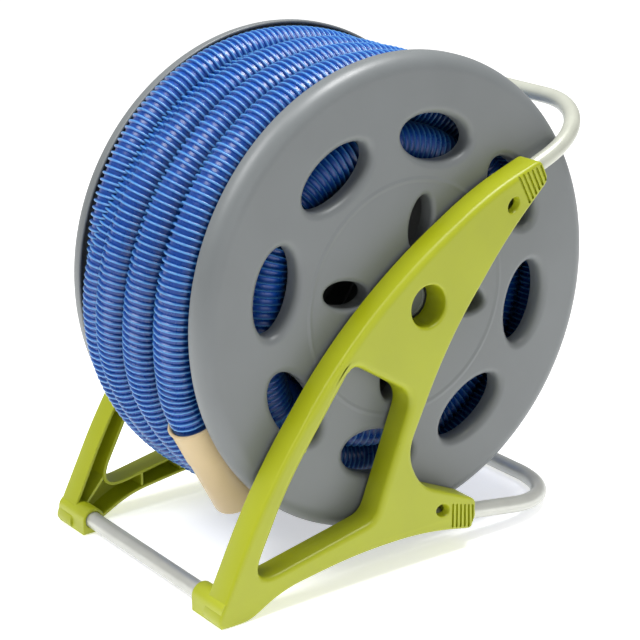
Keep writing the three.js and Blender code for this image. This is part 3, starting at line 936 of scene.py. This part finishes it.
class Route:
    """A line of points that can be asked for the point and the direction at a distance."""

    def __init__(self, points):
        self.points = points
        self.lengths = [0]
        for one, other in zip(points, points[1:]):
            self.lengths.append(self.lengths[-1] + (other - one).length)
        self.total = self.lengths[-1]

    def at(self, distance):
        distance = min(max(distance, 0), self.total)
        i = min(bisect.bisect_right(self.lengths, distance), len(self.points) - 1) - 1
        share = (distance - self.lengths[i]) / (self.lengths[i + 1] - self.lengths[i])
        return self.points[i].lerp(self.points[i + 1], share)

    def direction(self, distance, reach=6):
        return (self.at(distance + reach) - self.at(distance - reach)).normalized()


# How the corrugation's radius changes over one pitch: share of the pitch, share of the groove.
FINE_RIBS = [(0.0, 1), (0.42, 1), (0.58, 0.12), (0.71, 0), (0.84, 0.12)]
PLAIN_RIBS = [(0.0, 1), (0.45, 1), (0.72, 0)]
NO_RIBS = [(0.5, 0.4)]


def ribs_at(point):
    """Fine ribs on the outside, plain ones that show through the hand holes, none deep inside."""
    angle = math.degrees(math.atan2(point.z, point.y))
    radius = math.hypot(point.y, point.z)
    if radius > sunk(angle, OUTER_R) - HOSE_R:
        return FINE_RIBS
    seen_from = 58 if radius < INNER_R + HOSE_R else 40
    return PLAIN_RIBS if abs(point.x) > seen_from else NO_RIBS


def hose(material):
    route = Route(hose_route())
    shell = Shell()
    rings = []
    for pitch in range(int(route.total / HOSE_PITCH)):
        start = pitch * HOSE_PITCH
        for share, depth in ribs_at(route.at(start)):
            distance = start + share * HOSE_PITCH
            point = route.at(distance)
            tangent = route.direction(distance)
            outward = Vector((0, point.y, point.z))
            outward = (outward - tangent * outward.dot(tangent)).normalized()
            side = tangent.cross(outward)
            radius = HOSE_R - GROOVE * depth
            angles = [2 * math.pi * i / HOSE_SIDES for i in range(HOSE_SIDES)]
            rings.append([
                point + outward * math.cos(a) * radius + side * math.sin(a) * radius
                for a in angles
            ])
    indices = shell.loft(rings)
    shell.cap(indices[0])
    shell.cap(indices[-1])
    piece = shell.piece("hose", material, "reel", "blue_hose",
                        ["hose_winding", "hose_end"], crease=60)
    path = route.points[::PATH_EVERY] + route.points[-1:]
    return piece, [point * MM + AXLE for point in path], route.total * MM


def cuff(material):
    """The cuff: a flared mouth round the hose, a slightly tapered body and a rounded end."""
    shell = Shell()
    mouth, along, outward = cuff_frame()
    side = along.cross(outward)
    profile = [
        (22.9, 30), (22.9, 2), (23.6, 0.5), (24.6, 0), (25.8, 0.3), (26.5, 1.2), (26.3, 2.4),
        (25.6, 3.6), (25.3, 6), (25.2, 36), (24.9, 39), (24.1, 42), (23.9, 60),
        (23.7, CUFF_LENGTH - 2.4), (23.2, CUFF_LENGTH - 0.9), (22.4, CUFF_LENGTH),
        (21.2, CUFF_LENGTH), (20.4, CUFF_LENGTH - 0.8), (19.9, CUFF_LENGTH - 2.6), (19.6, 60),
        (19.4, 30.5), (20, 30),
    ]
    rings = []
    for radius, distance in profile:
        rings.append([
            mouth + along * distance + outward * math.cos(a) * radius + side * math.sin(a) * radius
            for a in [2 * math.pi * i / CUFF_SIDES for i in range(CUFF_SIDES)]
        ])
    shell.loft(rings, closed=True)
    return shell.piece("cuff", material, "reel", "ivory_plastic", ["hose_cuff"], crease=40)


# ---- Materials --------------------------------------------------------------------------------


# The grain's depth and how far the painted shade in crevices reaches, in millimetres.
GRAIN_DEPTH = 0.04
GRAIN_STRENGTH = 0.35
PAINTED_SHADE_REACH = 60
ROUGHNESS_SPREAD = 0.06


def linear(colour):
    """sRGB 0 to 255 as linear light."""
    return [((c / 255 + 0.055) / 1.055) ** 2.4 if c > 10 else c / 255 / 12.92 for c in colour]


class Look:
    """A material whose inputs are fed by procedural textures."""

    def __init__(self, name):
        self.material = bpy.data.materials.new(name)
        self.material.use_nodes = True
        self.nodes = self.material.node_tree.nodes
        self.links = self.material.node_tree.links
        self.shader = self.nodes["Principled BSDF"]
        self.place = self.nodes.new("ShaderNodeTexCoord").outputs["Object"]

    def noise(self, scale, detail):
        node = self.nodes.new("ShaderNodeTexNoise")
        node.inputs["Scale"].default_value = scale
        node.inputs["Detail"].default_value = detail
        self.links.new(self.place, node.inputs["Vector"])
        return node.outputs["Fac"]

    def mapped(self, value, from_range, to_range):
        node = self.nodes.new("ShaderNodeMapRange")
        node.inputs["From Min"].default_value = from_range[0]
        node.inputs["From Max"].default_value = from_range[1]
        node.inputs["To Min"].default_value = to_range[0]
        node.inputs["To Max"].default_value = to_range[1]
        self.links.new(value, node.inputs["Value"])
        return node.outputs["Result"]

    def mottled(self, base, amount, scale):
        ramp = self.nodes.new("ShaderNodeValToRGB")
        dark, light = ramp.color_ramp.elements
        dark.position = 0.3
        light.position = 0.7
        dark.color = (*[c * (1 - amount) for c in base], 1)
        light.color = (*[min(1, c * (1 + amount)) for c in base], 1)
        self.links.new(self.noise(scale, 4), ramp.inputs["Fac"])
        return ramp.outputs["Color"]

    # Painted highlight: the colour turns paler on pointed edges and crests, where light would
    # catch them.
    def with_painted_edge_highlight(self, colour, highlight_tint, amount):
        pointed = self.nodes.new("ShaderNodeNewGeometry").outputs["Pointiness"]
        mix = self.nodes.new("ShaderNodeMix")
        mix.data_type = "RGBA"
        mix.inputs["B"].default_value = (*highlight_tint, 1)
        self.links.new(self.mapped(pointed, (0.52, 0.62), (0, amount)), mix.inputs["Factor"])
        self.links.new(colour, mix.inputs["A"])
        return mix.outputs["Result"]

    # Painted shade: the colour is darkened where ambient occlusion finds surfaces close by, in
    # crevices and between parts.
    def with_painted_crevice_shade(self, colour, amount):
        crevice = self.nodes.new("ShaderNodeAmbientOcclusion")
        crevice.samples = 6
        crevice.inputs["Distance"].default_value = PAINTED_SHADE_REACH * MM
        shade = self.mapped(crevice.outputs["AO"], (0.15, 0.75), (1 - amount, 1))
        darker = self.nodes.new("ShaderNodeVectorMath")
        darker.operation = "SCALE"
        self.links.new(colour, darker.inputs[0])
        self.links.new(shade, darker.inputs["Scale"])
        return darker.outputs["Vector"]

    def add_grain(self, scale):
        bump = self.nodes.new("ShaderNodeBump")
        bump.inputs["Strength"].default_value = GRAIN_STRENGTH
        bump.inputs["Distance"].default_value = GRAIN_DEPTH * MM
        self.links.new(self.noise(scale, 2), bump.inputs["Height"])
        self.links.new(bump.outputs["Normal"], self.shader.inputs["Normal"])


def moulded(name, colour, roughness, metallic=0.0, mottle=0.05, mottle_scale=14,
            grain=1400, highlight_strength=0.0, highlight_colour=None, shade_strength=0.0):
    """A moulded or drawn surface: faint mottling, a fine grain, a painted highlight on pointed
    edges, painted shade in crevices.
    """
    look = Look(name)
    look.shader.inputs["Metallic"].default_value = metallic
    base = linear(colour)
    highlight_tint = linear(highlight_colour) if highlight_colour else [min(1, c * 1.35 + 0.02) for c in base]
    surface = look.mottled(base, mottle, mottle_scale)
    if highlight_strength:
        surface = look.with_painted_edge_highlight(surface, highlight_tint, highlight_strength)
    if shade_strength:
        surface = look.with_painted_crevice_shade(surface, shade_strength)
    look.links.new(surface, look.shader.inputs["Base Color"])
    roughness_range = (roughness - ROUGHNESS_SPREAD, roughness + ROUGHNESS_SPREAD)
    uneven = look.mapped(look.noise(mottle_scale * 4, 3), (0, 1), roughness_range)
    look.links.new(uneven, look.shader.inputs["Roughness"])
    look.add_grain(grain)
    return look.material


# The paler edges of these plastics and the hose's paler crests are painted highlights.
LIME = moulded("lime plastic", (152, 159, 10), 0.42, highlight_strength=0.5)
GREY = moulded("grey plastic", (106, 110, 111), 0.4, highlight_strength=0.25)
TUBE = moulded("satin tube", (196, 197, 190), 0.36, metallic=0.45, mottle_scale=40, grain=2200)
HANDLE_METAL = moulded("pale tube", (182, 184, 171), 0.34, metallic=0.25, mottle_scale=40)
STEEL = moulded("zinc steel", (160, 163, 166), 0.3, metallic=1, mottle_scale=60)
BLACK = moulded("black plastic", (28, 30, 32), 0.5)
# Painted shade darkens the hose between its turns and deep in the reel.
BLUE = moulded("blue hose", (0, 68, 156), 0.28, mottle=0.08, mottle_scale=30,
               highlight_strength=0.8, highlight_colour=(112, 186, 224), shade_strength=0.7)
IVORY = moulded("ivory plastic", (190, 169, 130), 0.4, highlight_strength=0.3)

# ---- Assembly ---------------------------------------------------------------------------------

blue_hose, hose_path, hose_length = hose(BLUE)
ivory_cuff = cuff(IVORY)

for side in ("right", "left"):
    flange(side, GREY)
    axle_cap(side, GREY)
    side_panel(side, LIME)
    screw(f"handle_bolt_{side}", HANDLE, STEEL, f"handle_screw_{side}", side == "left")
    screw(f"rear_bolt_{side}", REAR, STEEL, f"rear_screw_{side}", side == "left")
drum(GREY)
bent_tube("handle", HANDLE, HANDLE_METAL, "handle_metal", "handle_tube")
bent_tube("rear_foot", REAR, TUBE, "tube_metal", "rear_tube")
front_tube(TUBE)

# Hidden pieces that keep their CAD meshes.
KEPT = {
    BLACK: ["hub_bush_right", "hub_bush_left"],
    STEEL: ["tie_rod", "tie_nut_right", "tie_nut_left", "tie_washer_right", "tie_washer_left"],
}
for material, names in KEPT.items():
    for name in names:
        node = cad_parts[name]
        node.data.materials.clear()
        node.data.materials.append(material)

# ---- Floor, light and camera ------------------------------------------------------------------


FLOOR_REACH = 14
FLOOR_GLOW = 0.5
WORLD_LIGHT = 0.42
LAMP_AIM = Vector((0, 0, 0.25))


def floor():
    """A pale floor, in metres, that glows a little so that it stays white around the object."""
    mesh = bpy.data.meshes.new("floor")
    reach = FLOOR_REACH
    corners = [(-reach, -reach, 0), (reach, -reach, 0), (reach, reach, 0), (-reach, reach, 0)]
    mesh.from_pydata(corners, [], [(0, 1, 2, 3)])
    material = moulded("pale floor", (250, 250, 250), 0.8, mottle=0.005, mottle_scale=2)
    shader = material.node_tree.nodes["Principled BSDF"]
    shader.inputs["Emission Color"].default_value = (1, 1, 1, 1)
    shader.inputs["Emission Strength"].default_value = FLOOR_GLOW
    mesh.materials.append(material)
    plane = bpy.data.objects.new("floor", mesh)
    bpy.context.collection.objects.link(plane)


def area_light(name, place, size, power):
    """A round lamp at a place in metres, aimed at the reel."""
    data = bpy.data.lights.new(name, "AREA")
    data.shape = "DISK"
    data.size = size
    data.energy = power
    lamp = bpy.data.objects.new(name, data)
    lamp.location = place
    lamp.rotation_euler = (LAMP_AIM - Vector(place)).to_track_quat("-Z", "Y").to_euler()
    bpy.context.collection.objects.link(lamp)


def studio():
    world = bpy.data.worlds.new("studio")
    world.use_nodes = True
    background = world.node_tree.nodes["Background"]
    background.inputs["Color"].default_value = (1, 1, 1, 1)
    background.inputs["Strength"].default_value = WORLD_LIGHT
    bpy.context.scene.world = world
    area_light("key", (-0.3, -1.5, 2.2), 1.3, 38)
    area_light("top", (0.2, 0.3, 2.4), 0.9, 52)
    area_light("fill", (2.6, -0.6, 1.0), 1.6, 8)


def camera():
    data = bpy.data.cameras.new("camera")
    data.lens = 107.97
    data.sensor_width = 36
    view = bpy.data.objects.new("camera", data)
    view.location = (1.3831, -1.0435, 0.7841)
    view.rotation_euler = (math.radians(90 - 18.70), 0, math.radians(53.49))
    bpy.context.collection.objects.link(view)
    bpy.context.scene.camera = view


floor()
studio()
camera()
bpy.context.scene.view_settings.view_transform = "Standard"
